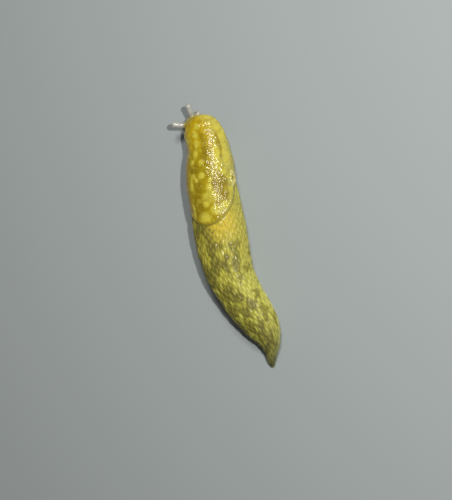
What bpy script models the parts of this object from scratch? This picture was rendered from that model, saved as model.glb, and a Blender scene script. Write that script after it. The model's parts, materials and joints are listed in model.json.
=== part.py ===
"""A green cellar slug, life size, as a still museum model.

The slug crawls half contracted on its flat sole, head towards +Y and turned to its left, tail bent
towards +X. Each part of the animal is one closed solid. Solids that touch keep a gap of 0.3 mm.
"""

import math

import bpy
import numpy as np
from mathutils import Matrix, Vector

MM = 0.001
GAP = 0.3 * MM

# The midline in plan, from the front of the mantle to the tip of the tail.
BACK_LINE = [
    (-11.3 * MM, 37.1 * MM),
    (-9.0 * MM, 34.1 * MM),
    (-7.1 * MM, 31.0 * MM),
    (-5.9 * MM, 27.5 * MM),
    (-5.4 * MM, 24.0 * MM),
    (-4.9 * MM, 17.5 * MM),
    (-3.7 * MM, 11.5 * MM),
    (-2.3 * MM, 4.0 * MM),
    (-0.4 * MM, -5.2 * MM),
    (1.9 * MM, -12.2 * MM),
    (5.9 * MM, -19.2 * MM),
    (11.4 * MM, -27.0 * MM),
    (14.0 * MM, -33.0 * MM),
    (14.0 * MM, -40.4 * MM),
]
# The head, the neck and the front of the foot turn further to the left under the mantle.
FRONT_LINE = [
    (-13.3 * MM, 37.0 * MM),
    (-11.0 * MM, 34.8 * MM),
    (-8.7 * MM, 31.8 * MM),
    (-6.9 * MM, 28.2 * MM),
    *BACK_LINE[4:],
]
# The middle of the finished outline in plan, which becomes the origin.
PLAN_CENTRE = (-0.164 * MM, 0.695 * MM)

# Half width and height of the body, each at a distance along the midline.
HALF_WIDTH = [
    (0.0, 2.4 * MM),
    (1.0 * MM, 4.1 * MM),
    (2.2 * MM, 5.2 * MM),
    (4.0 * MM, 6.1 * MM),
    (7.5 * MM, 6.5 * MM),
    (11.3 * MM, 6.6 * MM),
    (17.5 * MM, 7.55 * MM),
    (27.0 * MM, 7.85 * MM),
    (37.0 * MM, 8.3 * MM),
    (46.2 * MM, 7.9 * MM),
    (56.5 * MM, 6.9 * MM),
    (65.7 * MM, 6.2 * MM),
    (71.5 * MM, 5.0 * MM),
    (76.0 * MM, 3.0 * MM),
    (79.5 * MM, 1.6 * MM),
    (84.0 * MM, 0.6 * MM),
]
HEIGHT = [
    (0.0, 5.6 * MM),
    (1.0 * MM, 6.4 * MM),
    (2.5 * MM, 7.2 * MM),
    (6.0 * MM, 8.2 * MM),
    (12.0 * MM, 9.5 * MM),
    (22.0 * MM, 10.8 * MM),
    (34.0 * MM, 11.0 * MM),
    (48.0 * MM, 10.4 * MM),
    (58.0 * MM, 9.4 * MM),
    (68.0 * MM, 7.4 * MM),
    (76.0 * MM, 4.6 * MM),
    (84.0 * MM, 1.7 * MM),
]
WIDEST_AT = 0.34  # height of the widest line, as a share of the body's height
SQUARENESS = 2.25  # 2 is an ellipse, more is fuller at the shoulders

# The foot: a flat sole of three fields with a rounded fringe.
FOOT_SHARE = 0.80  # of the body's half width
FOOT_FRONT_HALF_WIDTH = 3.7 * MM
FOOT_FOLLOWS_FROM = 8.0 * MM  # from here back the foot follows the body's width
FOOT_WIDE_AT = 12.0 * MM
FOOT_FRONT_ROUND = 4.0 * MM
FOOT_FRONT_STEPS = np.array([0.15, 0.45, 1.0, 1.8, 2.8]) * MM  # sections of its round front
FOOT_END_ROUND = 1.0 * MM
FOOT_END_STEPS = np.array([0.7, 0.4, 0.2, 0.08]) * MM  # sections of its round end
FOOT_STEP = 2.0 * MM
FOOT_THICKNESS = 1.3 * MM
FOOT_TIP_THICKNESS = 0.6 * MM
FOOT_THINS_FROM = 0.75  # of the body's length
FOOT_FIELD_SHARE = 0.36  # half width of the middle field, as a share of the foot's
FOOT_FURROW_SHARE = 0.03
FOOT_FURROW_DEPTH = 0.3 * MM
FRINGE_STANDS_OUT = 0.45 * MM

# Where thin cuts part the body and the foot, along the midline.
HEAD_END = 5.0 * MM
NECK_END = 10.5 * MM
TRUNK_CUTS = (33.0 * MM, 50.0 * MM, 66.0 * MM)
FOOT_CUTS = (28.0 * MM, 56.0 * MM)

# The mantle: a soft shield over the front of the back, with a free rim.
MANTLE_FRONT = 0.5 * MM
MANTLE_MIDDLE = 17.5 * MM
MANTLE_REAR = 35.2 * MM
MANTLE_REACH = math.radians(87)  # how far its rim comes down each side, from the top of the back
MANTLE_RISE = 0.5 * MM
MANTLE_DEPTH = 1.0 * MM
MANTLE_FRONT_SHAPE = 3.0
MANTLE_REAR_SHAPE = 1.85
MANTLE_RINGS = 15
MANTLE_SPOKES = 56
MANTLE_RIDGE = 0.1 * MM
RIM_FULLNESS = 7  # more makes the rim blunter
RIM_RINGS = ((0.985, 0.6), (1.0, 0.05))  # share of the way out, and height as a share of the rise
INNER_SHARES = (0.18, 0.36, 0.52, 0.68, 0.82, 0.93, 0.985)  # rings of its underside and of its seat
RIM_CLEARANCE = 0.035  # of the mantle's half length, kept free round its rim
SEAT_REACH = 2.5 * MM  # how far the seat's cutter stands out of the body

# The breathing pore in the right side of the mantle.
PORE_AT = 21.7 * MM
PORE_DOWN = math.radians(75)
PORE_HALF_LENGTH = 1.7 * MM
PORE_HALF_WIDTH = 0.85 * MM
PORE_LIP = 0.28 * MM
PORE_LIP_LEFT = 0.6 * PORE_LIP  # how much of the lip the hole leaves standing
PORE_DEPTH = 2.2 * MM

# Long raised tubercles on the back and flanks.
TUBERCLE_COLUMNS = 50
TUBERCLE_ROWS = 4
TUBERCLE_RISE = 0.32 * MM
TUBERCLE_VALLEY = -0.25  # of the rise
TUBERCLE_BREAK = 0.1  # of the rise, between one tubercle and the next
TUBERCLES_FROM = (1.06, 1.22)  # as shares of the way from the mantle's middle to its rim
TUBERCLES_FADE = (math.pi, 2.2)  # angles down the side
TUBERCLES_FULL_WIDTH = 4.0 * MM  # half width of the body from which they have their full size
COLUMN_STATION = 44.0 * MM  # where the columns are evenly spaced
ROW_STEP = 1.25 * MM
NECK_STEP = 0.9 * MM

# The rounded end and the keel along the top of the tail.
TAIL_TIP = 1.0 * MM
TAIL_END_RINGS = ((0.75, 0.2 * MM), (0.35, 0.35 * MM))  # size, and distance behind the last section
KEEL_START = 64.0 * MM
KEEL_FULL = 73.0 * MM
KEEL_FADES_FROM = 0.94  # of the body's length
KEEL_RISE = 0.5 * MM
KEEL_WIDTH = math.radians(13)

# The head, a rounded block under the front of the mantle.
HEAD_HALF_WIDTH = 3.35 * MM
HEAD_TOP = 6.3 * MM
HEAD_CENTRE_HEIGHT = 3.9 * MM
HEAD_BOTTOM = FOOT_THICKNESS + GAP
HEAD_DOME = 4.0 * MM
HEAD_SQUARENESS = 2.3  # of its dome and of its section
HEAD_SIDES = 36
HEAD_RINGS = 9
LIP_RADIUS = 1.15 * MM
LIP_LENGTH = 1.44 * MM
LIP_SPREAD = 1.0 * MM
LIP_HEIGHT = 2.75 * MM
LIP_BACK = 1.25 * MM
MOUTH_HALF_HEIGHT = 1.0 * MM
MOUTH_HALF_WIDTH = 0.22 * MM
MOUTH_DEPTH = 1.1 * MM

# Tentacles: root on the head, side, turn from the heading and lift above the level.
UPPER_TENTACLE = {"length": 4.5 * MM, "root": 1.0 * MM, "waist": 0.86 * MM, "tip": 0.9 * MM}
LOWER_TENTACLE = {"length": 1.9 * MM, "root": 0.72 * MM, "waist": 0.62 * MM, "tip": 0.74 * MM}
UPPER_ROOT = {"along": 1.2 * MM, "across": 1.75 * MM, "height": 4.5 * MM}
LOWER_ROOT = {"along": 1.7 * MM, "across": 2.45 * MM, "height": 2.9 * MM}
TENTACLES = {
    "tentacle_upper_left": (UPPER_ROOT, -1, math.radians(37), math.radians(27)),
    "tentacle_upper_right": (UPPER_ROOT, 1, math.radians(37), math.radians(27)),
    "tentacle_lower_left": (LOWER_ROOT, -1, math.radians(45), math.radians(-14)),
    "tentacle_lower_right": (LOWER_ROOT, 1, math.radians(62), math.radians(-8)),
}
ROOT_TAPER = (0.18, 0.93)  # height up the stalk, and width as a share of the root's
WAIST_AT = 0.55  # height up the stalk
BULB_FROM = 0.82
COLLAR_HEIGHT = 0.45 * MM
COLLAR_SUNK = 1.1 * MM
COLLAR_FLARE = (1.3, 1.22, 1.02)  # radii from the bottom up, as shares of the root's
TENTACLE_SIDES = 14
EYE_RADIUS = 0.55 * MM
EYE_HEIGHT = 0.38 * MM
EYE_SEAT = 0.45 * MM  # how much of the round tip the eye's flat seat takes away
EYE_RINGS = 5


def smooth_points(points, per_span=24):
    """Points along a smooth curve through the given ones (Catmull-Rom)."""
    given = np.array(points, float)
    padded = np.vstack([2 * given[0] - given[1], given, 2 * given[-1] - given[-2]])
    dense = []
    for i in range(len(given) - 1):
        p0, p1, p2, p3 = padded[i : i + 4]
        for u in np.linspace(0, 1, per_span, endpoint=False):
            dense.append(
                0.5 * (2 * p1 + (p2 - p0) * u + (2 * p0 - 5 * p1 + 4 * p2 - p3) * u**2
                       + (3 * p1 - p0 - 3 * p2 + p3) * u**3)
            )
    dense.append(given[-1])
    return np.array(dense)


def measured_line(points):
    """A smooth line in plan: its points, their distances from the front of the mantle and their slopes.
    All lines end at the tip of the tail, so one distance names the same place on each."""
    line = smooth_points(points)
    at = np.concatenate([[0], np.cumsum(np.linalg.norm(np.diff(line, axis=0), axis=1))])
    return line, at, np.gradient(line, at, axis=0)


BACK = measured_line(BACK_LINE)
LENGTH = BACK[1][-1]
FRONT = measured_line(FRONT_LINE)
FRONT = (FRONT[0], FRONT[1] - FRONT[1][-1] + LENGTH, FRONT[2])
HEAD_START = FRONT[1][0]
FOOT_START = HEAD_START + 1.3 * MM


def profile(stations):
    """A smooth function of the distance along the midline through the given stations."""
    dense = smooth_points(stations)
    return lambda s: np.interp(s, dense[:, 0], dense[:, 1])


half_width = profile(HALF_WIDTH)
height = profile(HEIGHT)


def smoothstep(low, high, x):
    u = np.clip((np.asarray(x, float) - low) / (high - low), 0, 1)
    return u * u * (3 - 2 * u)


def frame_at(s, line=BACK):
    """Midline point, heading and right-hand side at the distance s, in plan."""
    points, at, slopes = line
    point = np.stack([np.interp(s, at, points[:, k]) for k in (0, 1)], axis=-1)
    slope = np.stack([np.interp(s, at, slopes[:, k]) for k in (0, 1)], axis=-1)
    heading = -slope / np.linalg.norm(slope, axis=-1, keepdims=True)
    right = np.stack([heading[..., 1], -heading[..., 0]], axis=-1)
    return point, heading, right


def foot_thickness(s):
    thinned = smoothstep(FOOT_THINS_FROM * LENGTH, LENGTH, s)
    return FOOT_THICKNESS + (FOOT_TIP_THICKNESS - FOOT_THICKNESS) * thinned


def rounded(distance, reach):
    """A quarter circle's share of the full width at a distance from the end of a round end."""
    left = 1 - np.clip(distance / reach, 0, 1)
    return np.sqrt(np.clip(1 - left**2, 0.02, 1))


def foot_half_width(s):
    full = FOOT_SHARE * half_width(np.maximum(s, FOOT_FOLLOWS_FROM))
    narrow = FOOT_FRONT_HALF_WIDTH / (FOOT_SHARE * half_width(FOOT_FOLLOWS_FROM))
    widening = narrow + (1 - narrow) * smoothstep(0, FOOT_WIDE_AT, s)
    return full * widening * rounded(s - FOOT_START, FOOT_FRONT_ROUND) * rounded(LENGTH - s, FOOT_END_ROUND)


def section(s, t):
    """Across and up, in the plane across the midline, of the body's skin. t is 0 at the top of the back,
    90 degrees at the widest line on the right and 180 degrees where the skin meets the foot."""
    a, h = half_width(s), height(s)
    widest = WIDEST_AT * h
    base = foot_thickness(s) + GAP
    inner = np.minimum(FOOT_SHARE * a, a)
    sin, cos = np.sin(t), np.cos(t)
    r = (np.abs(sin) ** SQUARENESS + np.abs(cos) ** SQUARENESS) ** (-1 / SQUARENESS)
    upper = cos >= 0
    across = np.where(upper, a * r * sin, np.sign(sin) * (inner + (a - inner) * r * np.abs(sin)))
    up = widest + np.where(upper, h - widest, np.maximum(widest - base, 0)) * r * cos
    keel = KEEL_RISE * smoothstep(KEEL_START, KEEL_FULL, s) * smoothstep(LENGTH, KEEL_FADES_FROM * LENGTH, s)
    return across, up + keel * np.exp(-((t / KEEL_WIDTH) ** 2))


def skin_point(s, t, offset=0.0):
    """Points of the body's skin, moved out of it by offset, as an array of x, y, z."""
    s, t = np.broadcast_arrays(np.asarray(s, float), np.asarray(t, float))
    across, up = section(s, t)
    step = 1e-3
    before, after = section(s, t - step), section(s, t + step)
    slope = np.stack([after[0] - before[0], after[1] - before[1]], axis=-1)
    slope /= np.linalg.norm(slope, axis=-1, keepdims=True)
    across = across - slope[..., 1] * offset
    up = up + slope[..., 0] * offset
    point, _, right = frame_at(s)
    plan = point + right * across[..., None]
    return np.concatenate([plan, up[..., None]], axis=-1)


def finish(name, colour, roughness):
    """A material with the part's plain finish."""
    material = bpy.data.materials.get(name) or bpy.data.materials.new(name)
    material.use_nodes = True
    shader = material.node_tree.nodes["Principled BSDF"]
    shader.inputs["Base Color"].default_value = (*colour, 1)
    shader.inputs["Roughness"].default_value = roughness
    shader.inputs["Metallic"].default_value = 0.0
    material.diffuse_color = (*colour, 1)
    return material


def new_object(name, vertices, faces, material=None, origin=(0, 0, 0)):
    """An object of these world points, with its own origin."""
    mesh = bpy.data.meshes.new(name)
    origin = np.array(origin, float)
    mesh.from_pydata([tuple(v) for v in np.asarray(vertices, float) - origin], [], faces)
    mesh.update()
    if material:
        mesh.materials.append(material)
    mesh.shade_smooth()
    mesh.set_sharp_from_angle(angle=math.radians(50))
    obj = bpy.data.objects.new(name, mesh)
    obj.location = origin
    bpy.context.scene.collection.objects.link(obj)
    return obj


def loft_faces(rings, size):
    """Quads between closed rings of points, with a cap at each end."""
    faces = []
    for i in range(rings - 1):
        for j in range(size):
            k = (j + 1) % size
            faces.append((i * size + j, i * size + k, (i + 1) * size + k, (i + 1) * size + j))
    faces.append(tuple(range(size - 1, -1, -1)))
    faces.append(tuple(range((rings - 1) * size, rings * size)))
    return faces


def loft(name, rings, material=None, origin=(0, 0, 0)):
    rings = np.asarray(rings, float)
    vertices = rings.reshape(-1, 3)
    obj = new_object(name, vertices, loft_faces(len(rings), rings.shape[1]), material, origin)
    face_outwards(obj)
    return obj


def face_outwards(obj):
    """Turns the mesh inside out if its faces point inwards."""
    mesh = obj.data
    mesh.calc_loop_triangles()
    points = np.array([v.co for v in mesh.vertices])
    corners = points[np.array([t.vertices for t in mesh.loop_triangles])]
    if np.linalg.det(corners).sum() < 0:
        mesh.flip_normals()


def bake(obj):
    """Applies the object's modifiers."""
    graph = bpy.context.evaluated_depsgraph_get()
    mesh = bpy.data.meshes.new_from_object(obj.evaluated_get(graph))
    obj.modifiers.clear()
    obj.data = mesh


def combine(obj, others, operation):
    """Joins the other closed meshes to obj, or cuts them from it, and removes them."""
    group = bpy.data.collections.new(obj.name + "_pieces")
    bpy.context.scene.collection.children.link(group)
    for other in others:
        group.objects.link(other)
    modifier = obj.modifiers.new(operation.lower(), "BOOLEAN")
    modifier.operation = operation
    modifier.operand_type = "COLLECTION"
    modifier.collection = group
    modifier.solver = "EXACT"
    bpy.context.view_layer.update()
    bake(obj)
    for other in others:
        bpy.data.objects.remove(other)
    bpy.data.collections.remove(group)
    keep_largest(obj)


def keep_largest(obj):
    """Keeps only the mesh's largest closed surface."""
    mesh = obj.data
    parent = list(range(len(mesh.vertices)))

    def root(i):
        while parent[i] != i:
            parent[i] = parent[parent[i]]
            i = parent[i]
        return i

    for edge in mesh.edges:
        parent[root(edge.vertices[0])] = root(edge.vertices[1])
    roots = [root(i) for i in range(len(mesh.vertices))]
    if len(set(roots)) == 1:
        return
    best = max(set(roots), key=roots.count)
    order = {i: n for n, i in enumerate(i for i, r in enumerate(roots) if r == best)}
    points = [mesh.vertices[i].co.copy() for i in order]
    faces = [tuple(order[i] for i in p.vertices) for p in mesh.polygons if p.vertices[0] in order]
    kept = bpy.data.meshes.new(mesh.name)
    kept.from_pydata(points, [], faces)
    for material in mesh.materials:
        kept.materials.append(material)
    kept.shade_smooth()
    kept.set_sharp_from_angle(angle=math.radians(50))
    obj.data = kept


def stations(start, end, step):
    return np.linspace(start, end, max(2, int(round((end - start) / step)) + 1))


def mantle_edge(angle):
    """Direction from the mantle's middle to its rim, along and across, for an angle round it."""
    shape = np.where(np.cos(angle) > 0, MANTLE_REAR_SHAPE, MANTLE_FRONT_SHAPE)
    r = (np.abs(np.cos(angle)) ** shape + np.abs(np.sin(angle)) ** shape) ** (-1 / shape)
    half = np.where(np.cos(angle) > 0, MANTLE_REAR - MANTLE_MIDDLE, MANTLE_MIDDLE - MANTLE_FRONT)
    return half * r * np.cos(angle), MANTLE_REACH * r * np.sin(angle)


def mantle_share(s, t):
    """How far out from the mantle's middle a point of the skin lies, where 1 is the rim."""
    half = np.where(s > MANTLE_MIDDLE, MANTLE_REAR - MANTLE_MIDDLE, MANTLE_MIDDLE - MANTLE_FRONT)
    shape = np.where(s > MANTLE_MIDDLE, MANTLE_REAR_SHAPE, MANTLE_FRONT_SHAPE)
    along, across = np.abs(s - MANTLE_MIDDLE) / half, np.abs(t) / MANTLE_REACH
    return (along**shape + across**shape) ** (1 / shape)


def mantle_ring(share, offset):
    """One ring of points round the mantle, at a share of the way to its rim."""
    angle = np.linspace(0, 2 * math.pi, MANTLE_SPOKES, endpoint=False)
    along, across = mantle_edge(angle)
    return skin_point(MANTLE_MIDDLE + share * along, share * across, offset)


def rim_rounding(share):
    return np.sqrt(np.clip(1 - share**RIM_FULLNESS, 0, 1))


def ring_shell(name, rings, bottom_offset, top_offset, material=None):
    """A closed shell from rings that run from the top middle, over the rim, to the bottom middle."""
    size = MANTLE_SPOKES
    top = skin_point(MANTLE_MIDDLE, 0.0, top_offset)
    bottom = skin_point(MANTLE_MIDDLE, 0.0, bottom_offset)
    vertices = [top, *np.concatenate(rings), bottom]
    faces = []
    last = len(vertices) - 1
    for j in range(size):
        k = (j + 1) % size
        faces.append((0, 1 + j, 1 + k))
        for i in range(len(rings) - 1):
            a, b = 1 + i * size, 1 + (i + 1) * size
            faces.append((a + j, b + j, b + k, a + k))
        faces.append((last, last - size + k, last - size + j))
    obj = new_object(name, vertices, faces, material)
    face_outwards(obj)
    return obj


def mantle_shell(material):
    """The mantle, with low concentric ridges like a fingerprint's."""
    shares = np.linspace(0, 1, MANTLE_RINGS + 1)[1:]
    rings = []
    for i, share in enumerate(shares[:-1]):
        ridge = MANTLE_RIDGE * (1 if i % 2 else -1)
        rings.append(mantle_ring(share, MANTLE_RISE * rim_rounding(share) + ridge))
    for share, rise in RIM_RINGS:
        rings.append(mantle_ring(share, rise * MANTLE_RISE))
    for share in reversed(INNER_SHARES):
        rings.append(mantle_ring(share, -MANTLE_DEPTH * rim_rounding(share)))
    return ring_shell("mantle", rings, -MANTLE_DEPTH, MANTLE_RISE + MANTLE_RIDGE, material)


def seat_share(share):
    """A little further out than the mantle's underside near its rim, so that the gap there is as wide."""
    return share * (1 + 0.6 * RIM_CLEARANCE * share**6)


def mantle_seat():
    """The room cut out of the body for the mantle: its underside less the gap, open to the outside."""
    rim = 1 + RIM_CLEARANCE
    rings = [mantle_ring(share, SEAT_REACH) for share in (0.3, 0.6, 0.85, rim)]
    rings.append(mantle_ring(rim, 0.0))
    for share in reversed(INNER_SHARES):
        rings.append(mantle_ring(seat_share(share), -MANTLE_DEPTH * rim_rounding(share) - GAP))
    return ring_shell("mantle_seat", rings, -MANTLE_DEPTH - GAP, SEAT_REACH)


def ellipsoid(name, centre, axes, radii, segments=16, rings=10):
    """A closed ellipsoid on three given directions."""
    lat = np.linspace(0, math.pi, rings + 1)[1:-1]
    lon = np.linspace(0, 2 * math.pi, segments, endpoint=False)
    local = [(0, 0, 1)]
    local += [(math.sin(a) * math.cos(b), math.sin(a) * math.sin(b), math.cos(a)) for a in lat for b in lon]
    local.append((0, 0, -1))
    vertices = np.array(local) * np.array(radii) @ np.array(axes, float) + np.array(centre, float)
    faces = []
    last = len(local) - 1
    for j in range(segments):
        k = (j + 1) % segments
        faces.append((0, 1 + j, 1 + k))
        for i in range(rings - 2):
            a, b = 1 + i * segments, 1 + (i + 1) * segments
            faces.append((a + j, b + j, b + k, a + k))
        faces.append((last, last - segments + k, last - segments + j))
    obj = new_object(name, vertices, faces)
    face_outwards(obj)
    return obj


def pore_frame():
    """Centre, axes along the body, down the side and out of the skin, for the breathing pore."""
    centre = skin_point(PORE_AT, PORE_DOWN, MANTLE_RISE)
    along = skin_point(PORE_AT + 0.5 * MM, PORE_DOWN, MANTLE_RISE) - centre
    out = skin_point(PORE_AT, PORE_DOWN, 2 * MANTLE_RISE) - centre
    along, out = along / np.linalg.norm(along), out / np.linalg.norm(out)
    return centre, along, np.cross(out, along), out


def pore_lip():
    """The raised oval lip round the pore."""
    centre, along, down, out = pore_frame()
    sides, turns = 8, 22
    vertices, faces = [], []
    for i in range(turns):
        cos, sin = math.cos(2 * math.pi * i / turns), math.sin(2 * math.pi * i / turns)
        middle = centre + PORE_HALF_LENGTH * cos * along + PORE_HALF_WIDTH * sin * down
        outward = cos * along / PORE_HALF_LENGTH + sin * down / PORE_HALF_WIDTH
        outward /= np.linalg.norm(outward)
        for j in range(sides):
            turn = 2 * math.pi * j / sides
            vertices.append(middle + PORE_LIP * (math.cos(turn) * outward + math.sin(turn) * out))
    for i in range(turns):
        for j in range(sides):
            k, n = (j + 1) % sides, (i + 1) % turns
            faces.append((i * sides + j, n * sides + j, n * sides + k, i * sides + k))
    obj = new_object("pore_lip", vertices, faces)
    face_outwards(obj)
    return obj


def make_mantle(skin):
    shield = mantle_shell(skin)
    combine(shield, [pore_lip()], "UNION")
    centre, along, down, out = pore_frame()
    radii = (PORE_HALF_LENGTH - PORE_LIP_LEFT, PORE_HALF_WIDTH - PORE_LIP_LEFT, PORE_DEPTH)
    combine(shield, [ellipsoid("pore_hole", centre, (along, down, out), radii, 18, 10)], "DIFFERENCE")


def even_angles(count):
    """Angles that space columns evenly round the body's skin, and leave out its flat underside."""
    t = np.linspace(-math.pi, math.pi, 721)
    across, up = section(COLUMN_STATION, t)
    at = np.concatenate([[0], np.cumsum(np.hypot(np.diff(across), np.diff(up)))])
    return np.interp((np.arange(count) + 0.5) / count * at[-1], at, t)


def body_length(name, start, end, material):
    """One length of the body between two thin cuts, with tubercles where the mantle leaves it bare."""
    angles = even_angles(TUBERCLE_COLUMNS)
    column = np.arange(TUBERCLE_COLUMNS)
    crest = np.where(column % 2 == 1, 1.0, TUBERCLE_VALLEY)
    fade = smoothstep(*TUBERCLES_FADE, np.abs(angles))
    rings = []
    for s in stations(start + GAP / 2, end - GAP / 2, ROW_STEP):
        row = int(round(s / ROW_STEP))
        broken = np.where((row + 2 * (column // 2)) % TUBERCLE_ROWS == 0, TUBERCLE_BREAK, 1.0)
        bare = smoothstep(*TUBERCLES_FROM, mantle_share(s, angles))
        size = smoothstep(0, TUBERCLES_FULL_WIDTH, half_width(s)) * fade * bare
        rings.append(skin_point(s, angles, TUBERCLE_RISE * crest * broken * size))
    if end > LENGTH - TAIL_TIP:
        last, centre = rings[-1], rings[-1].mean(axis=0)
        backwards = -np.array([*frame_at(end)[1], 0])
        for share, reach in TAIL_END_RINGS:
            rings.append(centre + share * (last - centre) + backwards * reach)
    return loft(name, rings, material, (*frame_at((start + end) / 2)[0], 0))


def make_neck(skin):
    """The neck, which widens and turns from the head's back to the trunk's front."""
    angles = even_angles(TUBERCLE_COLUMNS)
    rings = []
    for s in stations(HEAD_END + GAP / 2, NECK_END - GAP / 2, NECK_STEP):
        share = smoothstep(HEAD_END, NECK_END, s)
        rings.append((1 - share) * head_point(s, angles) + share * skin_point(s, angles))
    return loft("neck", rings, skin, (*frame_at((HEAD_END + NECK_END) / 2)[0], 0))


def make_body(skin):
    neck = make_neck(skin)
    edges = [NECK_END, *TRUNK_CUTS, LENGTH - 0.9 * TAIL_TIP]
    names = ["trunk_front", "trunk_middle", "trunk_rear", "tail"]
    lengths = [body_length(n, a, b, skin) for n, a, b in zip(names, edges, edges[1:])]
    for obj in (neck, *lengths[:2]):
        combine(obj, [mantle_seat()], "DIFFERENCE")


def foot_ring(s):
    """The foot's outline across: sole with two furrows, fringe and flat top."""
    f = float(foot_half_width(s))
    thick = float(foot_thickness(s))
    field, furrow = FOOT_FIELD_SHARE * f, FOOT_FURROW_SHARE * f
    deep = FOOT_FURROW_DEPTH * min(1, f / (4 * MM))
    out = FRINGE_STANDS_OUT * min(1, f / (3 * MM))
    right_side = [
        (field, 0),
        (field + furrow, deep),
        (field + 2 * furrow, 0),
        (f, 0),
        (f + 0.8 * out, 0.22 * thick),
        (f + out, 0.5 * thick),
        (f + 0.7 * out, 0.82 * thick),
        (f, thick),
    ]
    across = right_side + [(-n, z) for n, z in reversed(right_side)]
    point, _, right = frame_at(s, FRONT)
    return [(*(point + right * n), z) for n, z in across]


def make_foot(material):
    edges = [FOOT_START, *FOOT_CUTS, LENGTH]
    for name, start, end in zip(("foot_front", "foot_middle", "foot_rear"), edges, edges[1:]):
        along = stations(start + GAP / 2, end - GAP / 2, FOOT_STEP)
        if start == FOOT_START:
            front = start + FOOT_FRONT_STEPS
            along = [*front, *along[along > front[-1] + FOOT_STEP / 4]]
        if end == LENGTH:
            rear = end - FOOT_END_STEPS
            along = [*along[along < rear[0] - FOOT_STEP / 4], *rear]
        loft(name, [foot_ring(s) for s in along], material, (*frame_at((start + end) / 2)[0], 0))


def head_point(s, t):
    """Skin of the head: a dome in front that runs into a rounded block."""
    into = np.clip(1 - (s - HEAD_START) / HEAD_DOME, 0, 1)
    dome = np.sqrt(np.clip(1 - into**HEAD_SQUARENESS, 0, 1))
    sin, cos = np.sin(t), np.cos(t)
    r = (np.abs(sin) ** HEAD_SQUARENESS + np.abs(cos) ** HEAD_SQUARENESS) ** (-1 / HEAD_SQUARENESS)
    across = HEAD_HALF_WIDTH * dome * r * sin
    reach = np.where(cos > 0, HEAD_TOP - HEAD_CENTRE_HEIGHT, HEAD_CENTRE_HEIGHT - HEAD_BOTTOM)
    up = HEAD_CENTRE_HEIGHT + reach * dome * r * cos
    point, _, right = frame_at(s, FRONT)
    plan = point + right * across[..., None]
    return np.concatenate([plan, up[..., None]], axis=-1)


def head_frame(along, height=0.0):
    """Point, heading, right-hand side and up on the head, at a distance from its front."""
    point, heading, right = frame_at(HEAD_START + along, FRONT)
    return np.array([*point, height]), np.array([*heading, 0]), np.array([*right, 0]), np.array([0, 0, 1.0])


def tentacle_places():
    """Root and direction of each tentacle."""
    places = {}
    for name, (kind, sign, turn, lift) in TENTACLES.items():
        start, heading, right, up = head_frame(kind["along"], kind["height"])
        level = math.cos(turn) * heading + math.sin(turn) * sign * right
        direction = math.cos(lift) * level + math.sin(lift) * up
        places[name] = (start + sign * kind["across"] * right, direction)
    return places


def axes_along(direction):
    """A matrix that turns +Z to the direction."""
    return Vector(direction).to_track_quat("Z", "Y").to_matrix().to_4x4()


def turned(name, outline, sides, material, place, direction):
    """A turned solid: outline is (radius, height) from the bottom up, placed with its +Z along direction."""
    rings = []
    for radius, z in outline:
        angle = np.linspace(0, 2 * math.pi, sides, endpoint=False)
        rings.append(np.stack([radius * np.cos(angle), radius * np.sin(angle), np.full(sides, z)], axis=-1))
    obj = loft(name, rings, material)
    obj.matrix_world = Matrix.Translation(Vector(place)) @ axes_along(direction)
    return obj


def tentacle_outline(size, flat_tip):
    """Radius and height of a tentacle: wide root, slim waist and a round bulb, cut flat where an eye sits."""
    start = COLLAR_HEIGHT + GAP
    length, root, waist, bulb = size["length"], size["root"], size["waist"], size["tip"]
    centre = length - bulb
    stalk = centre - start
    outline = [
        (root, start),
        (ROOT_TAPER[1] * root, start + ROOT_TAPER[0] * stalk),
        (waist, start + WAIST_AT * stalk),
        ((waist + bulb) / 2, start + BULB_FROM * stalk),
    ]
    top = length - (EYE_SEAT if flat_tip else 0.04 * bulb)
    end = math.acos((top - centre) / bulb)
    for angle in np.linspace(math.pi / 2, end, 5):
        outline.append((bulb * math.sin(angle), centre + bulb * math.cos(angle)))
    return outline


def make_head(skin):
    """The head with its lips, mouth and the collars that the tentacles rise from."""
    dome = HEAD_START + HEAD_DOME * (1 - np.cos(np.linspace(0.16, math.pi / 2, HEAD_RINGS)))
    angles = np.linspace(-math.pi, math.pi, HEAD_SIDES, endpoint=False)
    rings = [head_point(np.full(HEAD_SIDES, s), angles) for s in [*dome, HEAD_END - GAP / 2]]
    head = loft("head", rings, skin, head_frame(HEAD_DOME / 2, HEAD_CENTRE_HEIGHT)[0])
    front, *axes = head_frame(0.0, LIP_HEIGHT)
    heading, right, _ = axes
    pieces = []
    for side in (-1, 1):
        centre = front - LIP_BACK * heading + side * LIP_SPREAD * right
        pieces.append(ellipsoid(f"lip_{side}", centre, axes, (LIP_LENGTH, LIP_RADIUS, LIP_RADIUS), 14, 8))
    for name, (root, direction) in tentacle_places().items():
        size = UPPER_TENTACLE if "upper" in name else LOWER_TENTACLE
        heights = (-COLLAR_SUNK, 0, COLLAR_HEIGHT)
        outline = [(flare * size["root"], z) for flare, z in zip(COLLAR_FLARE, heights)]
        pieces.append(turned(name + "_collar", outline, TENTACLE_SIDES, None, root, direction))
    combine(head, pieces, "UNION")
    slit = ellipsoid("mouth_slit", front, axes, (MOUTH_DEPTH, MOUTH_HALF_WIDTH, MOUTH_HALF_HEIGHT), 10, 8)
    combine(head, [slit], "DIFFERENCE")
    combine(head, [mantle_seat()], "DIFFERENCE")


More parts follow.
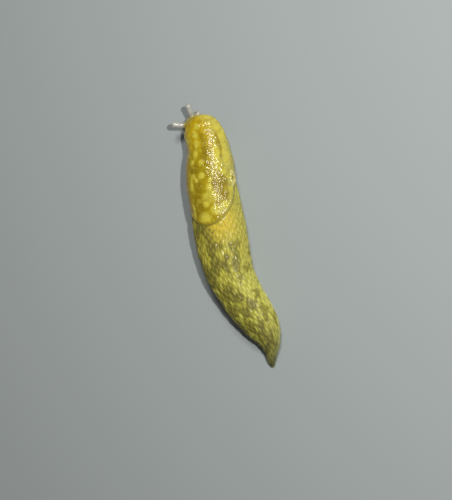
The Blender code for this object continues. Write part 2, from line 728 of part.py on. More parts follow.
def make_tentacles(skin, eye_finish):
    for name, (root, direction) in tentacle_places().items():
        upper = "upper" in name
        size = UPPER_TENTACLE if upper else LOWER_TENTACLE
        turned(name, tentacle_outline(size, upper), TENTACLE_SIDES, skin, root, direction)
        if upper:
            seat = size["length"] - EYE_SEAT + GAP
            angles = np.linspace(0, 0.47 * math.pi, EYE_RINGS)
            dome = [(EYE_RADIUS * math.cos(a), seat + EYE_HEIGHT * math.sin(a)) for a in angles]
            turned(name.replace("tentacle_upper", "eye"), dome, TENTACLE_SIDES, eye_finish, root, direction)


def main():
    for obj in list(bpy.data.objects):
        bpy.data.objects.remove(obj)
    make_foot(finish("foot_skin", (0.66, 0.6, 0.33), 0.35))
    make_body(finish("body_skin", (0.42, 0.38, 0.09), 0.38))
    make_mantle(finish("mantle_skin", (0.62, 0.47, 0.08), 0.3))
    make_head(finish("head_skin", (0.66, 0.49, 0.08), 0.3))
    eye_finish = finish("eye_skin", (0.05, 0.045, 0.05), 0.15)
    make_tentacles(finish("tentacle_skin", (0.62, 0.58, 0.6), 0.25), eye_finish)
    slug = bpy.data.objects.new("slug", None)
    bpy.context.scene.collection.objects.link(slug)
    for obj in bpy.data.objects:
        if obj is not slug:
            obj.parent = slug
    slug.location = (-PLAN_CENTRE[0], -PLAN_CENTRE[1], 0)
    bpy.context.view_layer.update()


main()
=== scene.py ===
# %% [markdown]
# # A green cellar slug, life size
# The slug crawls on its flat sole, with its mantle drawn forward over the head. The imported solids
# give its size and place. A real slug has one wet skin without seams, so the first half of this
# lesson grows one skin from their pieces. The second half paints it.

import itertools
import json
import math
from types import SimpleNamespace

import bpy
import numpy as np
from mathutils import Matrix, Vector

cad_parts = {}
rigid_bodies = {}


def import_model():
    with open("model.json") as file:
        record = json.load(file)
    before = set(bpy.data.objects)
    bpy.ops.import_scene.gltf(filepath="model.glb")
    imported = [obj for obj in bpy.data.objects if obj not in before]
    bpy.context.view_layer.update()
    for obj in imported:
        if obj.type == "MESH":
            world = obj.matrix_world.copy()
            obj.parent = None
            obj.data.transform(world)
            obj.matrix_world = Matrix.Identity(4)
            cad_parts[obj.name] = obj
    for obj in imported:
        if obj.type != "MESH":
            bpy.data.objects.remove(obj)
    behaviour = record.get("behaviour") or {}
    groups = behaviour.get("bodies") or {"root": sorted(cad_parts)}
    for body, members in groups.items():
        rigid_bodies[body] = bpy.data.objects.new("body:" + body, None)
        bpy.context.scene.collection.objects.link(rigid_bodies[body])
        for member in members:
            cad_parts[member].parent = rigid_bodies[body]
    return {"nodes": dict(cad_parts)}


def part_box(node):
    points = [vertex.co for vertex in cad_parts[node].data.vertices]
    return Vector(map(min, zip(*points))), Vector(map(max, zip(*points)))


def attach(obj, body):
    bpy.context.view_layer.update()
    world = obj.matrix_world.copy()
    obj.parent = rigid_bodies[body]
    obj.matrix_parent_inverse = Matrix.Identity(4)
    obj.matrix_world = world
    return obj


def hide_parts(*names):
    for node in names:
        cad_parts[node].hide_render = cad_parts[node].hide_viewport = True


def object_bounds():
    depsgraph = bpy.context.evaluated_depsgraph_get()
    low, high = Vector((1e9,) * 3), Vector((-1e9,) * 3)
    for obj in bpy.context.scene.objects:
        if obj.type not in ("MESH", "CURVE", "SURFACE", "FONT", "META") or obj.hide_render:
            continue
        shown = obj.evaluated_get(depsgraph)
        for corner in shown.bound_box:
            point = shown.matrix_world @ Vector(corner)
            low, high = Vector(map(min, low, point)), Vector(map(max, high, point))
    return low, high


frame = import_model()
CAD_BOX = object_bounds()
MM = 0.001


def in_mm(metres):
    return round(float(metres) / MM, 2)


print("CAD box in mm", [[in_mm(c) for c in corner] for corner in CAD_BOX])

# %% [markdown]
# Blender's operators act on what is selected and active. Three small helpers select pieces, apply a
# modifier at once, and run edit-mode operators on a whole piece.

# %% Selecting and applying
def select_only(*objects):
    bpy.ops.object.select_all(action="DESELECT")
    for item in objects:
        item.select_set(True)
    bpy.context.view_layer.objects.active = objects[0]


def apply_modifier(piece, kind, **settings):
    modifier = piece.modifiers.new(kind.lower(), kind)
    for name, value in settings.items():
        setattr(modifier, name, value)
    select_only(piece)
    bpy.ops.object.modifier_apply(modifier=modifier.name)


def edit(piece, *steps):
    """Runs edit-mode operators, each with its settings, on the whole of a piece."""
    select_only(piece)
    bpy.ops.object.mode_set(mode="EDIT")
    bpy.ops.mesh.select_all(action="SELECT")
    for operator, settings in steps:
        operator(**settings)
    bpy.ops.object.mode_set(mode="OBJECT")


# %% [markdown]
# Points are moved many at a time, so a mesh's points go into one array and back again.

# %% Points of a mesh
def all_of(items, name):
    flat = np.empty(len(items) * 3, np.float32)
    items.foreach_get(name, flat)
    return flat.reshape(-1, 3).astype(float)


def points_of(piece):
    return all_of(piece.data.vertices, "co")


def move_points(piece, points):
    piece.data.vertices.foreach_set("co", points.astype(np.float32).ravel())
    piece.data.update()


# %% [markdown]
# The flesh starts from copies of the solids. Modelling it afresh could miss their size and place.
# Each copy is merged and fattened a little, so that the thin gaps between neighbours close.

# %% Copies of the solids
FLESH = sorted(name for name in frame["nodes"] if not name.startswith("eye_"))
CLOSING = 0.2 * MM  # more than half the gap between solids
FURTHEST = 1.6  # a sharp corner's way, in times the closing


def flesh_copy(node):
    copy = frame["nodes"][node].copy()
    copy.data = copy.data.copy()
    copy.parent = None
    for key in list(copy.keys()):
        del copy[key]
    bpy.context.scene.collection.objects.link(copy)
    edit(copy, (bpy.ops.mesh.remove_doubles, {"threshold": 0.001 * MM}))
    thin = points_of(copy)
    edit(copy, (bpy.ops.transform.shrink_fatten, {"value": CLOSING, "use_even_offset": True}))
    growth = points_of(copy) - thin
    reach = np.linalg.norm(growth, axis=1, keepdims=True)
    move_points(copy, thin + growth * np.minimum(1, FURTHEST * CLOSING / reach))
    return copy


bpy.ops.object.select_all(action="DESELECT")
pieces = [flesh_copy(node) for node in FLESH]
print("copied", len(pieces), "solids of flesh")

# %% [markdown]
# A slug has two long tentacles with an eye each, and two short ones below them for smell and taste.
# The longest direction through the points of a solid stem leads from its root to its tip.

# %% Where the tentacles are
SIDES = ("left", "right")
lowest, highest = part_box("head")
head_middle = np.array(lowest + highest) / 2


def tentacle_axis(side, kind):
    """Root and tip of a tentacle's solid, in the middle of it."""
    points = points_of(frame["nodes"][f"tentacle_{kind}_{side}"])
    middle = points.mean(axis=0)
    axis = np.linalg.svd(points - middle)[2][0]
    if axis @ (middle - head_middle) < 0:
        axis = -axis
    reach = (points - middle) @ axis
    return middle + axis * reach.min(), middle + axis * reach.max()


TENTACLES = {(kind, side): tentacle_axis(side, kind) for kind in ("upper", "lower") for side in SIDES}
for (kind, side), (root, end) in TENTACLES.items():
    print("the", kind, side, "tentacle is", in_mm(np.linalg.norm(end - root)), "mm long")

# %% [markdown]
# The long tentacles end in a flat seat for the eye, so each gets a ball that rounds its tip again, and
# a tube round the stem, because a tentacle that is stretched out is nearly as thick at its tip as
# lower down. The short ones end in a round bulb.

# %% Round tips for the tentacles
TIP_RADIUS = 1.02 * MM
TIP_BACK = 0.5 * MM  # from the end of the solid to the middle of the ball
SHAFT_RADIUS = 0.98 * MM
SLEEVE_FROM = 0.2  # share of the tentacle's length left as it is at the root
BULB_RADIUS = 0.8 * MM


def direction(root, end):
    return (end - root) / np.linalg.norm(end - root)


def turned_along(axis):
    """The rotation that lays a piece's own Z along an axis."""
    return Vector(axis).to_track_quat("Z", "Y").to_euler()


def ball(radius, centre):
    bpy.ops.mesh.primitive_uv_sphere_add(radius=radius + CLOSING, location=centre)
    return bpy.context.object


def sleeve(side):
    """A ball for the tip, and a tube from it nearly down to the root."""
    root, end = TENTACLES["upper", side]
    axis = direction(root, end)
    centre = end - TIP_BACK * axis
    start = root + SLEEVE_FROM * (centre - root)
    tip = ball(TIP_RADIUS, centre)
    bpy.ops.mesh.primitive_cylinder_add(
        radius=SHAFT_RADIUS + CLOSING,
        depth=np.linalg.norm(centre - start),
        location=(centre + start) / 2,
        rotation=turned_along(axis),
    )
    return [tip, bpy.context.object]


for side in SIDES:
    pieces += sleeve(side)
for side in SIDES:
    root, end = TENTACLES["lower", side]
    pieces.append(ball(BULB_RADIUS, end - BULB_RADIUS * direction(root, end)))
select_only(*pieces)
bpy.ops.object.join()
skin = bpy.context.object
skin.name = "skin"
bpy.ops.object.transform_apply(location=True, rotation=True, scale=True)
print("joined", len(pieces), "pieces into one skin with", len(skin.data.vertices), "points")

# %% [markdown]
# A voxel remesh wraps all of it in one closed surface of small, even squares, the way a cast is
# taken from a mould. A Boolean union would keep every seam as a crease. The skin is then drawn back
# in by as much as it was fattened. A hollow that was sealed inside would stay as a second shell, so
# only the shell with the highest point is kept.

# %% One closed surface
apply_modifier(skin, "REMESH", mode="VOXEL", voxel_size=0.21 * MM, adaptivity=0.0)
edit(skin, (bpy.ops.transform.shrink_fatten, {"value": -CLOSING}))


def select_points(piece, chosen):
    """Selects the chosen points and stays in edit mode."""
    edit(piece, (bpy.ops.mesh.select_all, {"action": "DESELECT"}))
    piece.data.vertices.foreach_set("select", chosen)
    piece.data.update()
    select_only(piece)
    bpy.ops.object.mode_set(mode="EDIT")
    bpy.ops.mesh.select_mode(type="VERT")


heights = points_of(skin)[:, 2]
select_points(skin, heights == heights.max())
bpy.ops.mesh.select_linked()
bpy.ops.mesh.select_all(action="INVERT")
bpy.ops.mesh.delete(type="VERT")
bpy.ops.object.mode_set(mode="OBJECT")
print("one shell of", len(skin.data.vertices), "points is left")

# %% [markdown]
# The sole is flat and needs far fewer faces than the rest. Its rim is left out of that, so that the
# corner round the foot stays even.

# %% A plainer sole
SOLE_SKIN = 0.06 * MM  # the sole's points lie below this
SOLE_KEPT = 0.1  # share of its faces


def triangles_of(piece):
    return sum(len(face.vertices) - 2 for face in piece.data.polygons)


before = triangles_of(skin)
select_points(skin, points_of(skin)[:, 2] < SOLE_SKIN)
bpy.ops.mesh.select_less()
bpy.ops.mesh.select_less()
bpy.ops.mesh.decimate(ratio=SOLE_KEPT)
bpy.ops.object.mode_set(mode="OBJECT")
print("the skin had", before, "triangles and has", triangles_of(skin), "with a plainer sole")

# %% [markdown]
# Everything on a slug follows its body: rows of tubercles run from the mantle to the tail, and the
# mantle's wrinkles run round it. So each point gets measures of its own, and the first is how far
# along the midline it lies, from the front of the mantle. The midline is the solids' own, drawn as a
# smooth curve through a few points in plan.

# %% The midline
PLAN_CENTRE = np.array([-0.164, 0.695]) * MM  # the frame's origin, as the midline is drawn
MIDLINE = [  # in millimetres
    (-11.3, 37.1), (-9.0, 34.1), (-7.1, 31.0), (-5.9, 27.5), (-5.4, 24.0),
    (-4.9, 17.5), (-3.7, 11.5), (-2.3, 4.0), (-0.4, -5.2), (1.9, -12.2),
    (5.9, -19.2), (11.4, -27.0), (14.0, -33.0), (14.0, -40.4),
]


def smooth_line(points, per_span=24):
    """Points along a smooth curve through the given ones."""
    padded = np.vstack([2 * points[0] - points[1], points, 2 * points[-1] - points[-2]])
    dense = []
    for p0, p1, p2, p3 in zip(padded, padded[1:], padded[2:], padded[3:]):
        for u in np.linspace(0, 1, per_span, endpoint=False):
            straight = 2 * p1 + (p2 - p0) * u
            curved = (2 * p0 - 5 * p1 + 4 * p2 - p3) * u**2 + (3 * p1 - p0 - 3 * p2 + p3) * u**3
            dense.append((straight + curved) / 2)
    dense.append(points[-1])
    return np.array(dense)


line = smooth_line(np.array(MIDLINE) * MM) - PLAN_CENTRE
line_at = np.concatenate([[0], np.cumsum(np.linalg.norm(np.diff(line, axis=0), axis=1))])
backwards = np.gradient(line, line_at, axis=0)
backwards /= np.linalg.norm(backwards, axis=1, keepdims=True)
rightwards = np.stack([-backwards[:, 1], backwards[:, 0]], axis=1)
LENGTH = line_at[-1]
print("the midline is", in_mm(LENGTH), "mm long")

# %% [markdown]
# A point is measured from the nearest place on the midline. Comparing all points with the whole line
# at once would fill the memory, so they go through in blocks.

# %% Distance along and across
BLOCK = 20000


def from_midline(points):
    """Distance along the midline, and to its right, of each point in plan."""
    nearest = np.empty(len(points), int)
    for start in range(0, len(points), BLOCK):
        block = points[start : start + BLOCK, None, :2] - line
        nearest[start : start + BLOCK] = (block**2).sum(axis=2).argmin(axis=1)
    away = points[:, :2] - line[nearest]
    along = line_at[nearest] + (away * backwards[nearest]).sum(axis=1)
    return along, (away * rightwards[nearest]).sum(axis=1)


# %% [markdown]
# The solid of the tail ends in a blunt face above the point of the foot. On the animal the back runs
# down to that point in one low keel, so everything higher than a falling arch is pressed down to it.
# Pressing keeps the mesh whole, which a cut might not.

# %% The end of the tail
KEEL_LENGTH = 6.5 * MM
KEEL_END = 0.4 * MM
KEEL_FALL = 0.85  # below 1 the keel is rounded, at 1 it is straight
KEEL_BREADTHS = (1.0 * MM, 5.5 * MM)  # half breadths at the tip and at the keel's start
KEEL_SIDE = 0.05  # how steep its sides may get
START_REACH = 0.5 * MM  # over which the keel's start is measured


def press_tail(points):
    along, across = from_midline(points)
    left = np.clip((LENGTH - along) / KEEL_LENGTH, 0, 1)
    start = points[np.abs(along - LENGTH + KEEL_LENGTH) < START_REACH, 2].max()
    breadth = np.interp(left, (0, 1), KEEL_BREADTHS)
    section = np.sqrt(np.clip(1 - (across / breadth) ** 2, KEEL_SIDE, 1))
    keel = (KEEL_END + (start - KEEL_END) * left**KEEL_FALL) * (left + (1 - left) * section)
    pressed = np.where(left < 1, np.minimum(points[:, 2], keel), points[:, 2])
    print("the tail's end is pressed down by up to", in_mm((points[:, 2] - pressed).max()), "mm")
    return np.column_stack([points[:, :2], pressed])


move_points(skin, press_tail(points_of(skin)))

# %% [markdown]
# The body's width and height change from head to tail. They are measured on the skin, in short bins
# along the midline, and a soft running mean takes out the jumps.

# %% Width and height of the body
BIN = 1.0 * MM
MEAN_BINS = 9
MIDDLE_AT = 44 * MM


def profile(along, values, share):
    """A smooth function of the distance along the body, from the values' upper edge in short bins."""
    bins = np.arange(0, LENGTH + BIN, BIN)
    edge = [np.quantile(values[np.abs(along - b) < BIN], share) for b in bins]
    window = np.hanning(MEAN_BINS)
    padded = np.pad(edge, len(window) // 2 - 1, mode="edge")
    smooth = np.convolve(padded, window[1:-1] / window.sum(), mode="valid")
    return lambda s: np.interp(s, bins, smooth)


points = points_of(skin)
along, across = from_midline(points)
half_width = profile(along, np.abs(across), share=0.995)
height = profile(along, points[:, 2], share=0.998)
print("half width and height at the middle", in_mm(half_width(MIDDLE_AT)), in_mm(height(MIDDLE_AT)))

# %% [markdown]
# A section of the body is a full, rounded arch over the foot. Its widest line lies a third of the way
# up. Across and up are divided by the arch's own width and height, so the angle round it means the
# same at the thick middle as at the thin tail. The distance round is that of the middle section.

# %% Angle and distance round the body
WIDEST_AT = 0.34  # of the body's height
FOOT_THICKNESS = 1.3 * MM
LEAST_RISE = 0.3 * MM
HALF_WIDTH = 8.1 * MM
MIDDLE_HEIGHT = 10.6 * MM
SQUARENESS = 2.25
ARCH_STEPS = 181


def around_angle(along, across, up):
    """0 at the top of the back, a quarter turn at the widest line on the right, half a turn below."""
    widest = WIDEST_AT * height(along)
    below = np.maximum(widest - FOOT_THICKNESS, LEAST_RISE)
    rise = np.where(up > widest, height(along) - widest, below)
    return np.arctan2(across / half_width(along), (up - widest) / rise)


def arc_length(angle):
    """Distance round the arch at the middle of the body, for an angle."""
    t = np.linspace(0, math.pi, ARCH_STEPS)
    sin, cos = np.sin(t), np.cos(t)
    r = (np.abs(sin) ** SQUARENESS + np.abs(cos) ** SQUARENESS) ** (-1 / SQUARENESS)
    widest = WIDEST_AT * MIDDLE_HEIGHT
    up = np.where(cos > 0, MIDDLE_HEIGHT - widest, widest - FOOT_THICKNESS) * r * cos
    run = np.concatenate([[0], np.cumsum(np.hypot(np.diff(HALF_WIDTH * r * sin), np.diff(up)))])
    return np.sign(angle) * np.interp(np.abs(angle), t, run)


angle = around_angle(along, across, points[:, 2])
print("from the back round to the sole it is", in_mm(arc_length(math.pi)), "mm")

# %% [markdown]
# The mantle is a soft shield. Its outline is a rounded form round a middle, longer in front than
# across, and a share of 1 is its rim. The breathing pore is an oval in the right side of the mantle.

# %% Where the mantle and the pore are
MANTLE_FRONT = 0.5 * MM
MANTLE_MIDDLE = 17.5 * MM
MANTLE_REAR = 35.2 * MM
MANTLE_REACH = math.radians(87)
FRONT_SHAPE = 3.0
REAR_SHAPE = 1.85
PORE_AT = 21.7 * MM
PORE_DOWN = math.radians(75)
PORE_HALF_LENGTH = 1.7 * MM
PORE_HALF_WIDTH = 0.85 * MM


def mantle_share(along, angle):
    rear = along > MANTLE_MIDDLE
    half = np.where(rear, MANTLE_REAR - MANTLE_MIDDLE, MANTLE_MIDDLE - MANTLE_FRONT)
    shape = np.where(rear, REAR_SHAPE, FRONT_SHAPE)
    lengthwise = np.abs(along - MANTLE_MIDDLE) / half
    return (lengthwise**shape + (np.abs(angle) / MANTLE_REACH) ** shape) ** (1 / shape)


def pore_distance(along, angle):
    """1 on the line of the pore's lip."""
    down = (arc_length(angle) - arc_length(PORE_DOWN)) / PORE_HALF_WIDTH
    return np.hypot((along - PORE_AT) / PORE_HALF_LENGTH, down)


mantle = mantle_share(along, angle)
pore = pore_distance(along, angle)
print("the mantle has", int((mantle < 1).sum()), "points and the pore", int((pore < 1).sum()))

# %% [markdown]
# The tentacles are measured in the same way, from root to tip. The measure fades out sideways by a
# soft step, so that their clear skin runs softly into the head.

# %% Where the tentacles' skin is
STALK_REACH = {"upper": 1.5 * MM, "lower": 1.3 * MM}  # from the axis, past the stem's surface
STALK_FADES_FROM = 0.7  # of that reach
STALK_FADING = 2.5
BEHIND_ROOT = -0.5  # share of the length behind the root that still counts
NOWHERE = 9.0


def step(low, high, x):
    """0 at low and 1 at high, with a soft step between. Low may be the larger of the two."""
    u = np.clip((x - low) / (high - low), 0, 1)
    return u * u * (3 - 2 * u)


def up_stalk(points):
    """How far up a tentacle each point lies, 0 at a root and 1 at a tip, and -1 away from them."""
    far = np.full(len(points), -1.0)
    for (kind, side), (root, end) in TENTACLES.items():
        axis = end - root
        share = (points - root) @ axis / (axis @ axis)
        away = np.linalg.norm(points - root - np.clip(share, 0, 1)[:, None] * axis, axis=1)
        fading = STALK_FADING * step(STALK_FADES_FROM, 1.0, away / STALK_REACH[kind])
        fading += NOWHERE * (share < BEHIND_ROOT)
        far = np.maximum(far, np.clip(share, BEHIND_ROOT, 1) - fading)
    return far


stalk = up_stalk(points)
print("the tentacles have", int((stalk > 0).sum()), "points")

# %% [markdown]
# The solids' ridges are coarse, so they are ironed out first, where finer ones will come, and left
# sharp round the mantle's rim, the pore and the head. A Smooth modifier takes a vertex group for that.

# %% Ironing the coarse ridges
PASSES = {"back": 60, "groove": 12, "tail": 50}
HALF_WAY = 0.5  # of the way to the middle of a point's neighbours
INNER_RIM = 0.94  # the mantle is ironed up to here
OUTER_RIM = 1.05  # and the back from here
PORE_SPARED = 1.7  # of the pore's distance
SHIELD_ABOVE = 0.45  # share of the body's height
BACK_ABOVE = FOOT_THICKNESS + 0.5 * MM
BACK_ALONG = (6 * MM, LENGTH - 3 * MM)
GROOVE_LEVEL = (0.15 * MM, FOOT_THICKNESS + 0.8 * MM)
GROOVE_FROM = 4 * MM
TAIL_FROM = LENGTH - 5 * MM
TAIL_ABOVE = 0.2 * MM


def inside(low, high, values):
    return (values > low) & (values < high)


def iron(name, chosen):
    group = skin.vertex_groups.new(name=name)
    group.add([int(i) for i in np.flatnonzero(chosen)], 1.0, "REPLACE")
    apply_modifier(skin, "SMOOTH", factor=HALF_WAY, iterations=PASSES[name], vertex_group=name)
    print("ironed", int(chosen.sum()), "points of the", name)


level = points[:, 2]
off_stalks = stalk < 0
bare = (mantle > OUTER_RIM) & (level > BACK_ABOVE) & inside(*BACK_ALONG, along)
shield = (mantle < INNER_RIM) & (pore > PORE_SPARED) & (level > SHIELD_ABOVE * height(along))
groove = inside(*GROOVE_LEVEL, level) & (along > GROOVE_FROM)
iron("back", (bare | shield) & off_stalks)
iron("groove", groove & off_stalks)
iron("tail", (along > TAIL_FROM) & (level > TAIL_ABOVE))
apply_modifier(skin, "SMOOTH", factor=HALF_WAY, iterations=2)

# %% [markdown]
# Nothing grown is quite regular. This helper gives soft random values in space, the same at every
# run because its draws are seeded: a lattice of random numbers, blended smoothly in between.

# %% Soft noise
LATTICE = 32  # the numbers repeat after this many cells


def soft_noise(places, size, seed):
    """Smooth values from -1 to 1 that change over about the given size."""
    table = np.random.default_rng(seed).uniform(-1, 1, (LATTICE, LATTICE, LATTICE))
    cell = np.floor(places / size).astype(int)
    u = places / size - cell
    u = u * u * (3 - 2 * u)
    total = np.zeros(len(places))
    for corner in itertools.product((0, 1), repeat=3):
        weight = np.prod(np.where(corner, u, 1 - u), axis=1)
        total += weight * table[tuple(((cell + corner) % LATTICE).T)]
    return total


# %% [markdown]
# The ironed skin is measured again. From here on a point's place is its distance along and round,
# as if the skin were unrolled flat.

# %% The skin unrolled
points = points_of(skin)
along, across = from_midline(points)
angle = around_angle(along, across, points[:, 2])
around = arc_length(angle)
mantle = mantle_share(along, angle)
pore = pore_distance(along, angle)
unrolled = np.stack([along, around, np.zeros(len(along))], axis=1)
girth = half_width(along) / HALF_WIDTH
print("unrolled,", len(points), "points reach", in_mm(np.abs(around).max()), "mm down the sides")

# %% [markdown]
# Behind the mantle the skin is a pavement of long tubercles in wandering rows, each one a low dome
# with pointed ends, and neighbours are staggered like bricks. Each point looks for the two nearest of
# the scattered middles. Where they are equally far there is a furrow. Hundreds of single domes could
# be modelled and joined instead, but this keeps the skin one closed surface.

# %% Cells of the pavement
TUBERCLE_PITCH = 0.92 * MM
TUBERCLE_LENGTH = 2.7 * MM
ROWS_WANDER = 0.3
ENDS_WANDER = 0.1
STRAY_ENDWISE = 0.36
STRAY_ASIDE = 0.28
STRAYS = 64  # the draws repeat after this many cells
DOME_EDGE = 0.75


def tubercle_cells(along, around, wander):
    """0 in a furrow and 1 on top of a tubercle, and the place of its middle."""
    stray = np.random.default_rng(7).uniform(-1, 1, (2, STRAYS, STRAYS))
    u = along / TUBERCLE_LENGTH + ENDS_WANDER * wander
    v = around / TUBERCLE_PITCH + ROWS_WANDER * wander
    first = np.full(len(u), 9.0)
    second = first.copy()
    middle = np.zeros((len(u), 2))
    for aside, down in itertools.product((-1, 0, 1), repeat=2):
        lane = np.floor(v).astype(int) + aside
        stagger = 0.5 * (lane % 2)
        row = np.floor(u - stagger).astype(int) + down
        middle_u = row + 0.5 + stagger + STRAY_ENDWISE * stray[0][lane % STRAYS, row % STRAYS]
        middle_v = lane + 0.5 + STRAY_ASIDE * stray[1][lane % STRAYS, row % STRAYS]
        away = np.hypot(u - middle_u, v - middle_v)
        closer = away < first
        second = np.where(closer, first, np.minimum(second, away))
        middle = np.where(closer[:, None], np.stack([middle_u, middle_v], axis=1), middle)
        first = np.minimum(first, away)
    return step(0, DOME_EDGE, second - first), middle * (TUBERCLE_LENGTH, TUBERCLE_PITCH)


crest, middle = tubercle_cells(along, around * girth, soft_noise(unrolled, size=5 * MM, seed=11))
middle[:, 1] /= np.maximum(girth, 0.1)
print("furrows take", round(float((crest < 0.3).mean()), 2), "of the pavement")

# %% [markdown]
# Where a pattern is cut out of a mesh, its edge follows the little squares and shows saw teeth. Each
# point's value is blended with those of its neighbours, along the edges, until they are gone.

# %% Softening values
edge_ends = np.empty(len(skin.data.edges) * 2, np.int32)
skin.data.edges.foreach_get("vertices", edge_ends)
edge_ends = edge_ends.reshape(-1, 2)


def softened(values, rounds):
    neighbours = np.bincount(edge_ends.ravel(), minlength=len(values))
    for _ in range(rounds):
        total = np.bincount(edge_ends[:, 0], values[edge_ends[:, 1]], len(values))
        total += np.bincount(edge_ends[:, 1], values[edge_ends[:, 0]], len(values))
        values = (values + total / neighbours) / 2
    return values


# %% [markdown]
# The tubercles rise only behind the mantle and above the foot, and grow lower where the tail gets
# slender. Half of their height is dug out between them, so the body keeps its girth.

# %% Tubercles
TUBERCLE_RISE = 0.15 * MM
VALLEY_SHARE = 0.5  # how much of the rise is dug out between them
BEHIND_RIM = (1.01, 1.05)
ABOVE_FOOT = (0.2 * MM, 1.6 * MM)
OFF_HEAD = (1 * MM, 4 * MM)
OFF_STALKS = (-0.2, -0.5)
SLENDER = (0.3 * MM, 3.0 * MM)  # half widths

crest = softened(crest, rounds=1)
behind = step(*BEHIND_RIM, mantle) * step(*ABOVE_FOOT, points[:, 2] - FOOT_THICKNESS)
behind *= step(*OFF_HEAD, along) * step(*OFF_STALKS, stalk)
slender = step(*SLENDER, half_width(along))
crest_rise = TUBERCLE_RISE * (crest - VALLEY_SHARE) * behind * slender
print("tubercles cover", round(float((crest * behind > 0.3).mean()), 3), "of the points")

# %% [markdown]
# The mantle carries a fingerprint: fine wrinkles in rings round a place behind its middle, drawn out
# lengthwise and broken up by noise, so that on its front they lie across the body. The fringe of the
# foot has short upright creases, and all of the skin is a little uneven.

# %% Wrinkles and creases
RING_CENTRE = 23.5 * MM
RING_DRAWN_OUT = 1.5
WRINKLE_PITCH = 0.85 * MM
WRINKLE_RISE = 0.04 * MM
REAR_WRINKLES = 0.4  # share of the height in front
CREASE_PITCH = 0.9 * MM
CREASE_RISE = 0.05 * MM
UNEVEN_RISE = 0.1 * MM
WITHIN_RIM = (1.0, 0.9)
OFF_PORE = (1.25, 1.7)
OFF_FLANK = (0.30, 0.42)  # shares of the body's height
TO_FRONT = (24 * MM, 16 * MM)
UP_FRINGE = (0.15 * MM, 0.5 * MM)
END_OF_FRINGE = (1.9 * MM, 1.1 * MM)

ring = np.hypot((along - RING_CENTRE) / RING_DRAWN_OUT, around)
ring += 0.55 * MM * soft_noise(unrolled, size=2.2 * MM, seed=3)
ring += 0.9 * MM * soft_noise(unrolled, size=6 * MM, seed=4)
shield = step(*WITHIN_RIM, mantle) * step(*OFF_PORE, pore) * off_stalks
shield *= step(*OFF_FLANK, points[:, 2] / height(along))
faint = 0.6 + 0.4 * soft_noise(unrolled, size=1.8 * MM, seed=5)
wrinkle = np.sin(2 * math.pi * ring / WRINKLE_PITCH) * faint
in_front = REAR_WRINKLES + (1 - REAR_WRINKLES) * step(*TO_FRONT, along)
low = step(*UP_FRINGE, points[:, 2]) * step(*END_OF_FRINGE, points[:, 2])
stray = 0.5 * soft_noise(points, size=3 * MM, seed=8)
crease = np.sin(2 * math.pi * (along / CREASE_PITCH + stray)) * low
uneven = soft_noise(points, size=3.2 * MM, seed=9) * (shield + behind)
print("wrinkles cover", round(float((shield > 0.5).mean()), 3), "of the points")

# %% [markdown]
# The mouth is a short slit low on the face, a little arched, in a raised ring of soft lips. Both fade
# out over a few points, because a face has no sharp edges.

# %% The mouth
MOUTH = np.array([-13.14, 36.3, 2.75]) * MM
MOUTH_FACES = np.array([-0.72, 0.69, 0.0])
LIP_RADIUS = 0.95 * MM
LIP_BREADTH = 0.34 * MM
LIP_RISE = 0.2 * MM
LIP_FLATNESS = 1.15
FACE_REACH = 2.6 * LIP_RADIUS
SLIT_DEPTH = 0.3 * MM
SLIT_HALF_WIDTH = 0.75 * MM
SLIT_HALF_HEIGHT = 0.2 * MM
SLIT_ARCH = 0.25

from_mouth = points - MOUTH
aside = from_mouth @ np.cross(MOUTH_FACES, (0, 0, 1))
on_face = np.linalg.norm(from_mouth, axis=1) < FACE_REACH
arch = from_mouth[:, 2] + SLIT_ARCH * aside**2 / LIP_RADIUS
from_lip = np.hypot(aside, LIP_FLATNESS * from_mouth[:, 2]) - LIP_RADIUS
slit = np.exp(-((aside / SLIT_HALF_WIDTH) ** 4) - (arch / SLIT_HALF_HEIGHT) ** 2) * on_face
lips = np.exp(-((from_lip / LIP_BREADTH) ** 2)) * on_face
face = softened(LIP_RISE * lips - SLIT_DEPTH * slit, rounds=4)
print("the slit is", in_mm(-face.min()), "mm deep")

# %% [markdown]
# Now every point moves out along its normal by the sum of all these heights. The sole stays on the
# floor, and nothing passes the box of the solids.

# %% Raising the skin
rings = WRINKLE_RISE * wrinkle * shield * in_front
rise = crest_rise + rings + CREASE_RISE * crease + UNEVEN_RISE * uneven + face
points = points + all_of(skin.data.vertex_normals, "vector") * rise[:, None]
lowest, highest = (np.array(corner) for corner in CAD_BOX)
move_points(skin, np.clip(points, lowest, highest))
print("raised by", in_mm(rise.max()), "and sunk by", in_mm(-rise.min()), "mm")

# %% [markdown]
# The markings have places of their own. The mantle bears pale round spots, some of them run together,
# and soft shades between them. The back bears dark blotches. The large ones are listed, as
# distance along, distance round, half length and half width in millimetres. On the far side they are
# scattered by a seeded draw.

# %% Where the markings are
SPOTS = [
    (8.8, 8.7, 3.2, 1.5), (13.3, 5.3, 2.0, 1.2), (14.4, 8.8, 2.4, 1.5), (16.9, 5.2, 1.3, 1.2),
    (18.6, 7.1, 1.3, 1.0), (15.8, 0.0, 1.0, 1.0), (15.6, -3.6, 0.9, 0.8), (19.9, -0.1, 1.15, 1.1),
    (19.9, -3.1, 0.75, 0.8), (21.2, -2.0, 0.7, 0.6), (22.6, -4.0, 1.5, 0.7), (21.6, 2.7, 1.0, 0.8),
    (24.1, 1.9, 1.4, 1.2), (26.8, 1.8, 2.0, 2.7), (28.9, 0.2, 1.2, 1.1), (32.8, -0.8, 1.8, 2.1),
    (31.2, 3.0, 1.5, 1.9), (29.9, 6.0, 1.2, 1.2), (30.3, -4.7, 2.6, 0.7), (12.8, -2.3, 1.3, 1.0),
    (9.6, -1.7, 1.6, 1.0), (6.2, -1.3, 1.6, 1.0), (4.2, 1.1, 1.1, 1.4), (20.7, 8.6, 1.1, 0.8),
    (25.9, 8.6, 1.4, 0.8),
]
